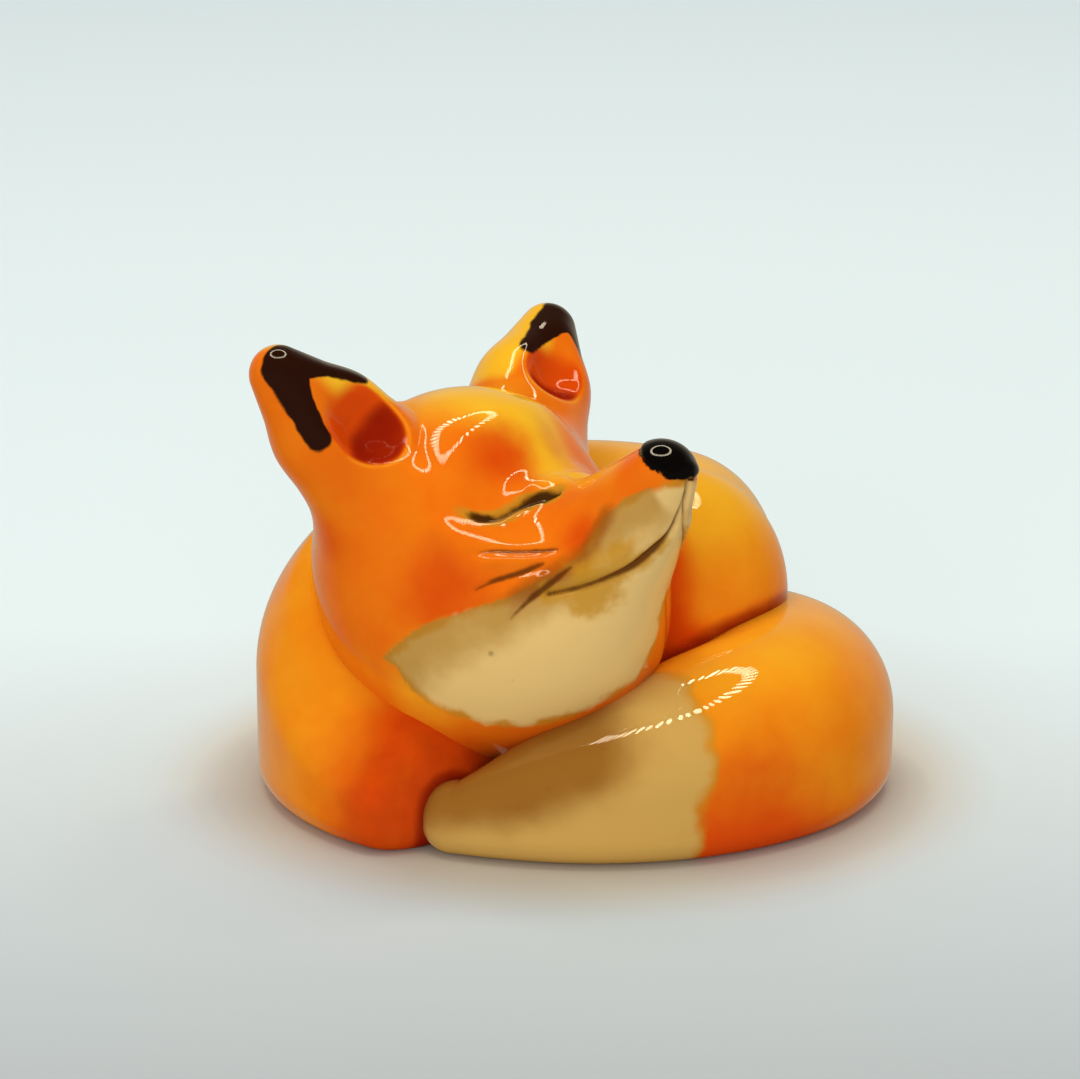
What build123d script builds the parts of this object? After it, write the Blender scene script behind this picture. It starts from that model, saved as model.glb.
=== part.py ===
from build123d import *
from collections import namedtuple
from math import cos, radians, sin, sqrt
import os

# Sleeping fox figurine, a glazed ceramic miniature. Body, head, two ears and tail are formed apart
# and luted to each other with slip before firing. Millimetres and degrees, +Z up, the face to the
# front right. The forms are laid out round the upright axis of the curl, and at the end the whole
# moves so that the origin is under the middle of its box, in the plane that it stands on.

# Body: a loaf section carried round the curl from the chest, past the back, to the rump.
# The narrower chest keeps the flank's outer reach, the narrower rump keeps the gap in the middle.
CURL_GAP = 0.8
BODY_HALF_WIDTH = 8.6
CHEST_ANGLE = 231.0
CHEST_HALF_WIDTH = 6.0
CHEST_HEIGHT = 6.9
CHEST_SIDE = 2.4
CHEST_BULGE = 3.2
BREAST_ANGLE = 212.0
BREAST_HALF_WIDTH = 7.0
BREAST_HEIGHT = 9.2
BREAST_SIDE = 4.2
SHOULDER_ANGLE = 190.0
SHOULDER_HALF_WIDTH = 8.3
SHOULDER_HEIGHT = 14.2
SHOULDER_SIDE = 6.8
FLANK_ANGLE = 155.0
FLANK_HEIGHT = 17.3
FLANK_SIDE = 8.0
BACK_ANGLE = 105.0
BACK_HEIGHT = 18.3
BACK_SIDE = 8.2
HAUNCH_ANGLE = 58.0
HAUNCH_HEIGHT = 18.7
HAUNCH_SIDE = 9.0
THIGH_ANGLE = 38.0
THIGH_HALF_WIDTH = 8.1
THIGH_HEIGHT = 18.9
THIGH_SIDE = 10.2
RUMP_ANGLE = 20.0
RUMP_HALF_WIDTH = 7.0
RUMP_HEIGHT = 18.8
RUMP_SIDE = 11.0

# Belly: the clay that closes the middle of the curl under the head
BELLY_RADIUS = 12.4
BELLY_HEIGHT = 4.2

# Foot: the rounded lower edge of body and tail, ground flat where the piece stands
FOOT_RADIUS = 1.7
FOOT_SHARE = 0.8
FOOT_GRIND = 0.3

# Tail: from the rump forwards round the front, thickest at the side, with a blunt tip.
# OUT is how far its spine lies outside the body's.
TAIL_ROOT_ANGLE = 58.0
TAIL_ROOT_OUT = 0.8
TAIL_ROOT_HALF_WIDTH = 4.4
TAIL_ROOT_HEIGHT = 9.2
TAIL_SIDE_ANGLE = 8.0
TAIL_SIDE_OUT = 4.8
TAIL_SIDE_HALF_WIDTH = 6.2
TAIL_SIDE_HEIGHT = 10.8
TAIL_BEND_ANGLE = -24.0
TAIL_BEND_OUT = 4.4
TAIL_BEND_HALF_WIDTH = 6.4
TAIL_BEND_HEIGHT = 11.0
TAIL_FRONT_ANGLE = -58.0
TAIL_FRONT_OUT = 3.1
TAIL_FRONT_HALF_WIDTH = 5.8
TAIL_FRONT_HEIGHT = 9.8
TAIL_TAPER_ANGLE = -88.0
TAIL_TAPER_OUT = 3.1
TAIL_TAPER_HALF_WIDTH = 4.2
TAIL_TAPER_HEIGHT = 7.4
TAIL_TIP_ANGLE = -113.0
TAIL_TIP_OUT = 4.8
TAIL_TIP_HALF_WIDTH = 2.1
TAIL_TIP_HEIGHT = 4.2
TAIL_SIDE_SHARE = 0.44

# Head: its place over the curl, and how far it is turned, lifted and rolled.
# IN is how far its middle lies inside the body's spine.
HEAD_ANGLE = 226.0
HEAD_IN = 3.6
HEAD_RISE = 14.2
HEAD_TURN = -40.0
HEAD_LIFT = 25.0
HEAD_ROLL = -4.0

# Skull: an upright ellipsoid behind the ears, which the face sections carry on from
SKULL_HALF_LENGTH = 9.9
SKULL_HALF_WIDTH = 9.9
SKULL_HALF_HEIGHT = 10.9
SKULL_BACK = 0.4
SKULL_RISE = 0.35
SKULL_JOIN = 3.6

# Face: sections forward from the head's middle, each with its top, its bottom and its widest line
THROAT_DEPTH = 10.9
BROW_FORWARD = 3.0
BROW_TOP = 10.4
BROW_BOTTOM = -11.2
BROW_HALF_WIDTH = 9.35
BROW_WIDEST = -1.7
EYE_FORWARD = 6.0
EYE_TOP = 8.0
EYE_BOTTOM = -10.5
EYE_HALF_WIDTH = 8.2
EYE_WIDEST = -2.4
STOP_FORWARD = 9.0
STOP_TOP = 4.3
STOP_BOTTOM = -8.7
STOP_HALF_WIDTH = 6.1
STOP_WIDEST = -2.6
MUZZLE_FORWARD = 12.0
MUZZLE_TOP = 3.5
MUZZLE_BOTTOM = -5.2
MUZZLE_HALF_WIDTH = 3.5
MUZZLE_WIDEST = -1.3
LIP_FORWARD = 13.6
LIP_TOP = 3.65
LIP_BOTTOM = -3.3
LIP_HALF_WIDTH = 2.65
LIP_WIDEST = 0.1
NOSE_FORWARD = 15.2
NOSE_RISE = 1.05
NOSE_HALF_HEIGHT = 2.7
NOSE_HALF_WIDTH = 2.2
NOSE_BULGE = 2.0

# Ears: turned cones with a full side and a blunt tip, sunk in the skull, with a leaf-shaped cup
EAR_BACK = 0.5
EAR_SPREAD = 45.0
EAR_SINK = 1.4
EAR_LEAN = 39.0
EAR_ROOT_RADIUS = 4.6
EAR_ROOT_DEPTH = 1.5
EAR_MIDDLE = 4.0
EAR_MIDDLE_RADIUS = 3.6
EAR_NECK = 8.8
EAR_NECK_RADIUS = 1.75
EAR_LENGTH = 10.4
CUP_TURN = 6.0
CUP_HEIGHT = 4.4
CUP_OUT = 4.1
CUP_HALF_WIDTH = 2.5
CUP_HALF_DEPTH = 2.7
CUP_HALF_LENGTH = 4.2

SPINE_RADIUS = BODY_HALF_WIDTH + CURL_GAP
BODY_REACH = SPINE_RADIUS + BODY_HALF_WIDTH
CHEST_RADIUS = BODY_REACH - CHEST_HALF_WIDTH
BREAST_RADIUS = BODY_REACH - BREAST_HALF_WIDTH
SHOULDER_RADIUS = BODY_REACH - SHOULDER_HALF_WIDTH
THIGH_RADIUS = THIGH_HALF_WIDTH + CURL_GAP
RUMP_RADIUS = RUMP_HALF_WIDTH + CURL_GAP

Section = namedtuple("Section", "angle radius half_width height side")

BODY = (
    Section(CHEST_ANGLE, CHEST_RADIUS, CHEST_HALF_WIDTH, CHEST_HEIGHT, CHEST_SIDE),
    Section(BREAST_ANGLE, BREAST_RADIUS, BREAST_HALF_WIDTH, BREAST_HEIGHT, BREAST_SIDE),
    Section(SHOULDER_ANGLE, SHOULDER_RADIUS, SHOULDER_HALF_WIDTH, SHOULDER_HEIGHT, SHOULDER_SIDE),
    Section(FLANK_ANGLE, SPINE_RADIUS, BODY_HALF_WIDTH, FLANK_HEIGHT, FLANK_SIDE),
    Section(BACK_ANGLE, SPINE_RADIUS, BODY_HALF_WIDTH, BACK_HEIGHT, BACK_SIDE),
    Section(HAUNCH_ANGLE, SPINE_RADIUS, BODY_HALF_WIDTH, HAUNCH_HEIGHT, HAUNCH_SIDE),
    Section(THIGH_ANGLE, THIGH_RADIUS, THIGH_HALF_WIDTH, THIGH_HEIGHT, THIGH_SIDE),
    Section(RUMP_ANGLE, RUMP_RADIUS, RUMP_HALF_WIDTH, RUMP_HEIGHT, RUMP_SIDE),
)

TAIL = tuple(
    Section(angle, SPINE_RADIUS + out, half_width, height, TAIL_SIDE_SHARE * height)
    for angle, out, half_width, height in (
        (TAIL_ROOT_ANGLE, TAIL_ROOT_OUT, TAIL_ROOT_HALF_WIDTH, TAIL_ROOT_HEIGHT),
        (TAIL_SIDE_ANGLE, TAIL_SIDE_OUT, TAIL_SIDE_HALF_WIDTH, TAIL_SIDE_HEIGHT),
        (TAIL_BEND_ANGLE, TAIL_BEND_OUT, TAIL_BEND_HALF_WIDTH, TAIL_BEND_HEIGHT),
        (TAIL_FRONT_ANGLE, TAIL_FRONT_OUT, TAIL_FRONT_HALF_WIDTH, TAIL_FRONT_HEIGHT),
        (TAIL_TAPER_ANGLE, TAIL_TAPER_OUT, TAIL_TAPER_HALF_WIDTH, TAIL_TAPER_HEIGHT),
        (TAIL_TIP_ANGLE, TAIL_TIP_OUT, TAIL_TIP_HALF_WIDTH, TAIL_TIP_HEIGHT),
    )
)


def foot_radius(section):
    """The rounding of a section's lower edge, limited by the section's own side and width."""
    return min(FOOT_RADIUS, FOOT_SHARE * section.side, FOOT_SHARE * section.half_width)


def half_loaf(section):
    """Edges of half a loaf: base, rounded foot, straight side and elliptical top, to the crown."""
    wide, side, foot = section.half_width, section.side, foot_radius(section)
    base = -FOOT_GRIND
    return [
        Line((0, base), (wide - foot, base)),
        CenterArc((wide - foot, base + foot), foot, -90, 90),
        Line((wide, base + foot), (wide, side)),
        EllipticalCenterArc((0, side), wide, section.height - side, 0, arc_size=90),
    ]


def station(section):
    """The place of a section round the curl: under its spine, X pointing away from the curl's axis."""
    return Rot(Z=section.angle) * Pos(section.radius, 0, 0)


def loaf(section):
    """A whole loaf section, standing upright in its place round the curl."""
    right = half_loaf(section)
    left = [mirror(edge, about=Plane.YZ) for edge in right]
    return station(section) * (Plane.XZ * make_face(right + left))


def rounded_end(section, bulge, way):
    """Half a turn of the half section about its own upright, drawn in or out to bulge from the cut."""
    crown = Line((0, section.height), (0, -FOOT_GRIND))
    turned = revolve(Plane.XZ * make_face(half_loaf(section) + [crown]), Axis.Z, way * 180)
    return station(section) * scale(turned, by=(1, bulge / section.half_width, 1))


def above_ground(form):
    """The form ground flat in the plane that the figurine stands on."""
    box = form.bounding_box()
    ground = Box(2 * box.size.X, 2 * box.size.Y, 2 * FOOT_RADIUS)
    return form - Pos(box.center().X, box.center().Y, -FOOT_RADIUS) * ground


def body_form():
    """The curled body with its rounded chest and rump, and the belly in the middle of the curl."""
    form = loft([loaf(section) for section in BODY])
    form += rounded_end(BODY[0], CHEST_BULGE, 1)
    form += rounded_end(BODY[-1], RUMP_HALF_WIDTH, -1)
    upwards = (Align.CENTER, Align.CENTER, Align.MIN)
    belly = Cylinder(BELLY_RADIUS, BELLY_HEIGHT + FOOT_GRIND, align=upwards)
    form += Pos(0, 0, -FOOT_GRIND) * belly
    return above_ground(form)


def tail_form():
    """The tail from inside the rump to its rounded tip."""
    form = loft([loaf(section) for section in TAIL])
    form += rounded_end(TAIL[-1], TAIL_TIP_HALF_WIDTH, -1)
    return above_ground(form)


def ellipsoid(half_x, half_y, half_z):
    """A ball drawn out to three half sizes."""
    return scale(Sphere(1), by=(half_x, half_y, half_z))


def egg(forward, top, bottom, half_width, widest):
    """A section across the head: two half ellipses that meet on the widest line."""
    upper = EllipticalCenterArc((0, widest), half_width, top - widest, 0, arc_size=180)
    lower = EllipticalCenterArc((0, widest), half_width, widest - bottom, 180, arc_size=180)
    return Plane.YZ.offset(forward) * make_face([upper, lower])


def head_form():
    """Skull, face, muzzle and nose in the head's own axes: X forward, Y to its left, Z up."""
    join = -SKULL_BACK - SKULL_JOIN
    share = sqrt(1 - (SKULL_JOIN / SKULL_HALF_LENGTH) ** 2)
    join_width, join_height = share * SKULL_HALF_WIDTH, share * SKULL_HALF_HEIGHT
    nose_top, nose_bottom = NOSE_RISE + NOSE_HALF_HEIGHT, NOSE_RISE - NOSE_HALF_HEIGHT
    skull = ellipsoid(SKULL_HALF_LENGTH, SKULL_HALF_WIDTH, SKULL_HALF_HEIGHT)
    skull = Pos(-SKULL_BACK, 0, SKULL_RISE) * skull
    nose = ellipsoid(NOSE_BULGE, NOSE_HALF_WIDTH, NOSE_HALF_HEIGHT)
    nose = Pos(NOSE_FORWARD, 0, NOSE_RISE) * nose
    face = loft(
        [
            egg(join, SKULL_RISE + join_height, SKULL_RISE - join_height, join_width, SKULL_RISE),
            egg(-SKULL_BACK, SKULL_RISE + SKULL_HALF_HEIGHT, -THROAT_DEPTH, SKULL_HALF_WIDTH, SKULL_RISE),
            egg(BROW_FORWARD, BROW_TOP, BROW_BOTTOM, BROW_HALF_WIDTH, BROW_WIDEST),
            egg(EYE_FORWARD, EYE_TOP, EYE_BOTTOM, EYE_HALF_WIDTH, EYE_WIDEST),
            egg(STOP_FORWARD, STOP_TOP, STOP_BOTTOM, STOP_HALF_WIDTH, STOP_WIDEST),
            egg(MUZZLE_FORWARD, MUZZLE_TOP, MUZZLE_BOTTOM, MUZZLE_HALF_WIDTH, MUZZLE_WIDEST),
            egg(LIP_FORWARD, LIP_TOP, LIP_BOTTOM, LIP_HALF_WIDTH, LIP_WIDEST),
            egg(NOSE_FORWARD, nose_top, nose_bottom, NOSE_HALF_WIDTH, NOSE_RISE),
        ]
    )
    back = split(skull, bisect_by=Plane.YZ.offset(join), keep=Keep.BOTTOM)
    tip = split(nose, bisect_by=Plane.YZ.offset(NOSE_FORWARD), keep=Keep.TOP)
    return back + face + tip


def ear_form():
    """The left ear in the head's own axes: a turned cone with its cup pressed in from the front."""
    root, tip = (0, -EAR_ROOT_DEPTH), (0, EAR_LENGTH)
    rim = (EAR_ROOT_RADIUS, -EAR_ROOT_DEPTH)
    side = Spline(
        rim,
        (EAR_MIDDLE_RADIUS, EAR_MIDDLE),
        (EAR_NECK_RADIUS, EAR_NECK),
        tip,
        tangents=[(0, 1), (-1, 0)],
    )
    outline = make_face([Line(root, rim), side, Line(tip, root)])
    cone = revolve(Plane.XZ * outline, Axis.Z)
    cup = Pos(CUP_OUT, 0, CUP_HEIGHT) * ellipsoid(CUP_HALF_DEPTH, CUP_HALF_WIDTH, CUP_HALF_LENGTH)
    ear = cone - Rot(Z=CUP_TURN) * cup
    apart = SKULL_HALF_WIDTH * sin(radians(EAR_SPREAD)) - EAR_SINK * sin(radians(EAR_LEAN))
    rise = SKULL_HALF_HEIGHT * cos(radians(EAR_SPREAD)) - EAR_SINK * cos(radians(EAR_LEAN))
    return Pos(-EAR_BACK, apart, SKULL_RISE + rise) * Rot(X=-EAR_LEAN) * ear


head_spot = Rot(Z=HEAD_ANGLE) * Pos(SPINE_RADIUS - HEAD_IN, 0, HEAD_RISE)
head_place = head_spot * Rot(Z=HEAD_TURN - HEAD_ANGLE) * Rot(Y=-HEAD_LIFT) * Rot(X=HEAD_ROLL)
head = head_form()
left_ear = ear_form() - head
right_ear = mirror(left_ear, about=Plane.XZ)
head_and_ears = head_place * (head + left_ear + right_ear)
body = body_form()

pieces = {
    "body": body - head_and_ears,
    "tail": tail_form() - body - head_and_ears,
    "head": head_place * head,
    "left_ear": head_place * left_ear,
    "right_ear": head_place * right_ear,
}

box = Compound([solid for piece in pieces.values() for solid in piece.solids()]).bounding_box()
to_origin = Pos(-box.center().X, -box.center().Y, 0)

os.makedirs("parts", exist_ok=True)
for name, piece in pieces.items():
    export_step(to_origin * piece, f"parts/{name}.step")
    print(name, len(piece.solids()), "solid", round(piece.volume, 1), "mm3")
print("box", [round(size, 2) for size in box.size], "moved by", to_origin.position)
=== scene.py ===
import bmesh
import bpy
import numpy as np
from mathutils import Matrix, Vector


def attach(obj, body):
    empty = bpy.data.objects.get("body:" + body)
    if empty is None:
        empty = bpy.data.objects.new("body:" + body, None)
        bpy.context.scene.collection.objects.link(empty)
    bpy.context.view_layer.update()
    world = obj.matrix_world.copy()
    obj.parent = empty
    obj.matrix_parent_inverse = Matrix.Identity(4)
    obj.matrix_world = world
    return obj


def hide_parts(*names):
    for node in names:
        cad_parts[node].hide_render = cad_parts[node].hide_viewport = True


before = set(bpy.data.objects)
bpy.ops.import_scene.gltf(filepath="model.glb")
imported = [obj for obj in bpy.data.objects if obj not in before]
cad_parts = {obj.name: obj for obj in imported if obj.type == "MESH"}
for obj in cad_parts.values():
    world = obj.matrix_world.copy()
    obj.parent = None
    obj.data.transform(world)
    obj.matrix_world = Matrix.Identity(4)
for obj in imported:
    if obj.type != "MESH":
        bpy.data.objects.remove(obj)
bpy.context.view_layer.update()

# Head
# The head lies on the curl, turned to the front right with the muzzle raised: a round skull, flat
# planes at the shut eyes and a narrow muzzle with a black nose. Cast in clay and luted to the body,
# its lines are cut in the soft clay and filled with brown, and clear glaze covers the sprayed colour.
# Part of the yellow on top is painted light, and part of the deeper red low down is painted shade.
MM = 0.001
CURL_AXIS = np.array([-1.33, -0.63])
HEAD_ANGLE = np.radians(226.0)
HEAD_RADIUS = 5.8
HEAD_RISE = 14.2
HEAD_TURN = np.radians(-40.0)
HEAD_LIFT = np.radians(25.0)
HEAD_ROLL = np.radians(-4.0)
HEAD_MIDDLE = np.array([CURL_AXIS[0] + HEAD_RADIUS * np.cos(HEAD_ANGLE),
                        CURL_AXIS[1] + HEAD_RADIUS * np.sin(HEAD_ANGLE), HEAD_RISE])
FORWARD = np.array([np.cos(HEAD_TURN) * np.cos(HEAD_LIFT), np.sin(HEAD_TURN) * np.cos(HEAD_LIFT),
                    np.sin(HEAD_LIFT)])
LEVEL_LEFT = np.array([-np.sin(HEAD_TURN), np.cos(HEAD_TURN), 0.0])
LEVEL_UP = np.cross(FORWARD, LEVEL_LEFT)
LEFT = LEVEL_LEFT * np.cos(HEAD_ROLL) + LEVEL_UP * np.sin(HEAD_ROLL)
UPWARD = LEVEL_UP * np.cos(HEAD_ROLL) - LEVEL_LEFT * np.sin(HEAD_ROLL)
HEAD_AXES = np.stack([FORWARD, LEFT, UPWARD])
HEAD_ROWS = 290
HEAD_COLUMNS = 336


def to_head(points):
    """Points of the figurine in the head's own forward, left and up axes."""
    return (points - HEAD_MIDDLE) @ HEAD_AXES.T


def from_head(points):
    """Points in the head's own axes, put back into the figurine."""
    return points @ HEAD_AXES + HEAD_MIDDLE


def through(x, knots, values):
    """Smooth curve through (knot, value) pairs: cubic pieces whose end slopes are the pairs' gradient."""
    knots = np.asarray(knots, float)
    values = np.asarray(values, float)
    slope = np.gradient(values, knots)
    i = np.clip(np.searchsorted(knots, x) - 1, 0, len(knots) - 2)
    step = knots[i + 1] - knots[i]
    t = np.clip((x - knots[i]) / step, 0, 1)
    start = (1 + 2 * t) * (1 - t) ** 2 * values[i] + t * (1 - t) ** 2 * step * slope[i]
    return start + t * t * (3 - 2 * t) * values[i + 1] + t * t * (t - 1) * step * slope[i + 1]


def fade(x, full, none):
    """Weight that is 1 at and beyond full, 0 at and beyond none, and eases between them."""
    t = np.clip((x - none) / (full - none), 0, 1)
    return t * t * (3 - 2 * t)


def melt(a, b, width):
    """Union of two distance fields whose seam is rounded over a width."""
    lap = np.maximum(width - np.abs(a - b), 0) / width
    return np.minimum(a, b) - lap * lap * width / 4


def pare(a, b, width):
    """What two distance fields share, the edge between them rounded over a width."""
    return -melt(-a, -b, width)


def egg(points, middle, radii):
    """Rough distance to an ellipsoid: its scaled radius less one, over the gradient of that radius."""
    q = points - np.array(middle)
    r = np.array(radii)
    scaled = np.linalg.norm(q / r, axis=-1)
    slope = np.linalg.norm(q / (r * r), axis=-1)
    return scaled * (scaled - 1) / np.maximum(slope, 1e-9)


def taper(points, start, end, start_radius, end_radius):
    """Distance to a round-ended cone: in the plane through its axis, to the line that touches both
    end circles, or to an end circle where the foot of the perpendicular falls past the line."""
    start = np.array(start)
    axis = np.array(end) - start
    length = np.linalg.norm(axis)
    along = (points - start) @ axis / length
    across = np.sqrt(np.maximum(((points - start) ** 2).sum(-1) - along ** 2, 0))
    sine = (start_radius - end_radius) / length
    cosine = np.sqrt(1 - sine * sine)
    foot = along * cosine - across * sine
    side = across * cosine + along * sine - start_radius
    near = np.sqrt(along ** 2 + across ** 2) - start_radius
    far = np.sqrt((along - length) ** 2 + across ** 2) - end_radius
    return np.where(foot < 0, near, np.where(foot > length * cosine, far, side))


def both_sides(points):
    """Points with their left or right turned into distance from the head's middle plane."""
    folded = points.copy()
    folded[..., 1] = np.sqrt(points[..., 1] ** 2 + 1e-6)
    return folded


# Forms of the head in its own axes: middles and radii of skull and cheeks, flats of the brows, and the
# ends and end radii of the jaw and muzzle cones
SKULL = ((-0.4, 0, 0.35), (9.9, 9.9, 10.9))
BROW_WAY = np.array([0.919, 0.309, 0.245])
BROW_OUT = 8.35
BROW_ROUND = 0.5
RIDGE_ROUND = 1.5
LEFT_BROW_WAY = np.array([0.62, 0.70, 0.35])
LEFT_BROW_OUT = 9.2
LEFT_BROW_ROUND = 0.8
CHEEKS = ((1.8, 0, -3.4), (8.8, 8.4, 7.8))
JAW = ((5.0, 0, -3.6), (13.4, 0, -0.3), 5.6, 2.3)
MUZZLE = ((6.0, 0, -0.4), (15.3, 0, 1.8), 3.0, 2.05)
CHEEK_SEAM = 2.0
MUZZLE_SEAM = 1.6


def head_field(points):
    """Distance to the bare head: an upright skull pared flat at the brows, which meet in a soft
    ridge, and a little more on the left, melted with a cheek ball, a jaw cone and a muzzle cone."""
    q = both_sides(points)
    ridged = q.copy()
    ridged[..., 1] = np.sqrt(q[..., 1] ** 2 + RIDGE_ROUND)
    field = egg(q, *SKULL)
    field = pare(field, ridged @ BROW_WAY - BROW_OUT, BROW_ROUND)
    field = pare(field, points @ LEFT_BROW_WAY - LEFT_BROW_OUT, LEFT_BROW_ROUND)
    field = melt(field, egg(q, *CHEEKS), CHEEK_SEAM)
    field = melt(field, taper(q, *JAW), CHEEK_SEAM)
    return melt(field, taper(q, *MUZZLE), MUZZLE_SEAM)


def out_to(field, starts, rays, reach):
    """Points where rays from inside leave a field, by halving the bracket 32 times."""
    low = np.zeros(rays.shape[:-1])
    high = np.full(rays.shape[:-1], reach)
    for _ in range(32):
        middle = (low + high) / 2
        inside = field(starts + rays * middle[..., None]) < 0
        low = np.where(inside, middle, low)
        high = np.where(inside, high, middle)
    return starts + rays * high[..., None]


def slope_of(field, points, step=0.02):
    """Outward unit normals of a field by central differences along the three axes."""
    shifts = np.eye(3) * step
    normal = np.stack([field(points + s) - field(points - s) for s in shifts], -1)
    return normal / np.linalg.norm(normal, axis=-1, keepdims=True)


def trace(points, route, lean):
    """For points beside a drawn line: distance to it, height above it along the lean direction,
    and share of its length. The line is eased through the route, read at 90 places and laid on the
    bare head by going twice down the head's own distance."""
    route = np.array(route)
    knots = np.linspace(0, 1, len(route))
    share = np.linspace(0, 1, 90)
    line = np.stack([through(share, knots, route[:, k]) for k in range(3)], -1)
    for _ in range(2):
        line = line - slope_of(head_field, line) * head_field(line)[:, None]
    nearest = np.linalg.norm(points[..., None, :] - line, axis=-1).argmin(-1)
    way = np.gradient(line, axis=0)
    step = np.linalg.norm(way, axis=-1)
    off = points - line[nearest]
    way = (way / step[:, None])[nearest]
    slide = np.clip((off * way).sum(-1), -step[nearest] / 2, step[nearest] / 2)
    gap = np.linalg.norm(off - way * slide[..., None], axis=-1)
    return gap, (off * np.array(lean)).sum(-1), share[nearest]


def closed_piece(name, points, node, material, paint):
    """Mesh of a grid of points in mm, closed round its columns, with one float attribute for each
    named paint; coincident points at poles and ends are merged and faces turned outwards."""
    rows, columns = points.shape[:2]
    row, column = np.meshgrid(np.arange(rows - 1), np.arange(columns), indexing="ij")
    beside = (column + 1) % columns
    quads = np.stack([row * columns + column, row * columns + beside,
                      (row + 1) * columns + beside, (row + 1) * columns + column], -1).reshape(-1, 4)
    mesh = bpy.data.meshes.new(name)
    mesh.from_pydata((points.reshape(-1, 3) * MM).tolist(), [], quads.tolist())
    for label, weight in paint.items():
        layer = mesh.attributes.new(label, "FLOAT", "POINT")
        layer.data.foreach_set("value", np.asarray(weight, np.float32).ravel())
    shell = bmesh.new()
    shell.from_mesh(mesh)
    bmesh.ops.remove_doubles(shell, verts=shell.verts, dist=0.004 * MM)
    bmesh.ops.recalc_face_normals(shell, faces=shell.faces)
    shell.to_mesh(mesh)
    shell.free()
    mesh.polygons.foreach_set("use_smooth", np.ones(len(mesh.polygons), bool))
    mesh.materials.append(material)
    piece = bpy.data.objects.new(name, mesh)
    bpy.context.scene.collection.objects.link(piece)
    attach(piece, "root")
    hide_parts(node)


def linear(red, green, blue):
    """Colour written in 0..255 display values, as the linear light that the shader mixes."""
    level = np.array([red, green, blue]) / 255
    light = np.where(level <= 0.04045, level / 12.92, ((level + 0.055) / 1.055) ** 2.4)
    return (*light, 1.0)


def noise_at(tree, scale, detail):
    """Noise over the piece's own coordinates, with so many waves to the metre."""
    place = tree.nodes.new("ShaderNodeTexCoord")
    noise = tree.nodes.new("ShaderNodeTexNoise")
    noise.inputs["Scale"].default_value = scale
    noise.inputs["Detail"].default_value = detail
    tree.links.new(place.outputs["Object"], noise.inputs["Vector"])
    return noise.outputs["Fac"]


def glazed(name, ground):
    """Clear glossy glaze over a painted ground: the two ground colours are mottled by noise, and the
    glaze is a coat whose surface wavers by a few microns. Returns material, node tree and colour."""
    material = bpy.data.materials.new(name)
    material.use_nodes = True
    tree = material.node_tree
    shader = tree.nodes["Principled BSDF"]
    shader.inputs["Roughness"].default_value = 0.35
    shader.inputs["Specular IOR Level"].default_value = 0.0
    shader.inputs["Coat Weight"].default_value = 1.0
    shader.inputs["Coat Roughness"].default_value = 0.02
    shader.inputs["Coat IOR"].default_value = 1.5
    bump = tree.nodes.new("ShaderNodeBump")
    bump.inputs["Strength"].default_value = 0.06
    bump.inputs["Distance"].default_value = 0.0004
    tree.links.new(noise_at(tree, 420.0, 2.0), bump.inputs["Height"])
    tree.links.new(bump.outputs["Normal"], shader.inputs["Coat Normal"])
    ramp = tree.nodes.new("ShaderNodeValToRGB")
    ramp.color_ramp.elements[0].position = 0.3
    ramp.color_ramp.elements[0].color = linear(*ground[0])
    ramp.color_ramp.elements[1].position = 0.7
    ramp.color_ramp.elements[1].color = linear(*ground[1])
    tree.links.new(noise_at(tree, 260.0, 4.0), ramp.inputs["Fac"])
    return material, tree, ramp.outputs["Color"]


def colour_mix(tree, weight, blend="MIX"):
    """Node that blends two colours by a weight socket: its first, its second and its result socket."""
    mix = tree.nodes.new("ShaderNodeMix")
    mix.data_type = "RGBA"
    mix.blend_type = blend
    sockets = {socket.identifier: socket for socket in mix.inputs}
    tree.links.new(weight, sockets["Factor_Float"])
    result = {socket.identifier: socket for socket in mix.outputs}["Result_Color"]
    return sockets["A_Color"], sockets["B_Color"], result


def lay_colour(tree, below, weight, colour):
    """Mix of the colour below with one colour, by a weight socket."""
    first, second, result = colour_mix(tree, weight)
    tree.links.new(below, first)
    second.default_value = linear(*colour)
    return result


def painted(tree, label):
    """Value of one of the piece's painted attributes."""
    place = tree.nodes.new("ShaderNodeAttribute")
    place.attribute_name = label
    return place.outputs["Fac"]


def ranged(tree, value, span, results, interpolation="LINEAR"):
    """Value carried from its span to the span of results, and held at the ends."""
    node = tree.nodes.new("ShaderNodeMapRange")
    node.interpolation_type = interpolation
    for label, level in zip(("From Min", "From Max", "To Min", "To Max"), (*span, *results)):
        node.inputs[label].default_value = level
    tree.links.new(value, node.inputs["Value"])
    return node.outputs["Result"]


def multiplied(tree, one, other):
    """Product of two values."""
    node = tree.nodes.new("ShaderNodeMath")
    node.operation = "MULTIPLY"
    tree.links.new(one, node.inputs[0])
    tree.links.new(other, node.inputs[1])
    return node.outputs["Value"]


def above(tree, value, limit):
    """1 where a value is over a limit, and 0 elsewhere."""
    node = tree.nodes.new("ShaderNodeMath")
    node.operation = "GREATER_THAN"
    node.inputs[1].default_value = limit
    tree.links.new(value, node.inputs[0])
    return node.outputs["Value"]


def brushed(tree, below, label, colour, span, ragged=0.0, grain=900.0, cover=1.0):
    """Paint over the colour below where the piece's attribute, moved by ragged times noise, climbs
    through span: the mix eases from none at its low end to cover at its high end."""
    stray = ranged(tree, noise_at(tree, grain, 3.0), (0.25, 0.75), (-ragged, ragged))
    total = tree.nodes.new("ShaderNodeMath")
    tree.links.new(painted(tree, label), total.inputs[0])
    tree.links.new(stray, total.inputs[1])
    edge = ranged(tree, total.outputs["Value"], span, (0.0, cover), "SMOOTHSTEP")
    return lay_colour(tree, below, edge, colour)


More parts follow.
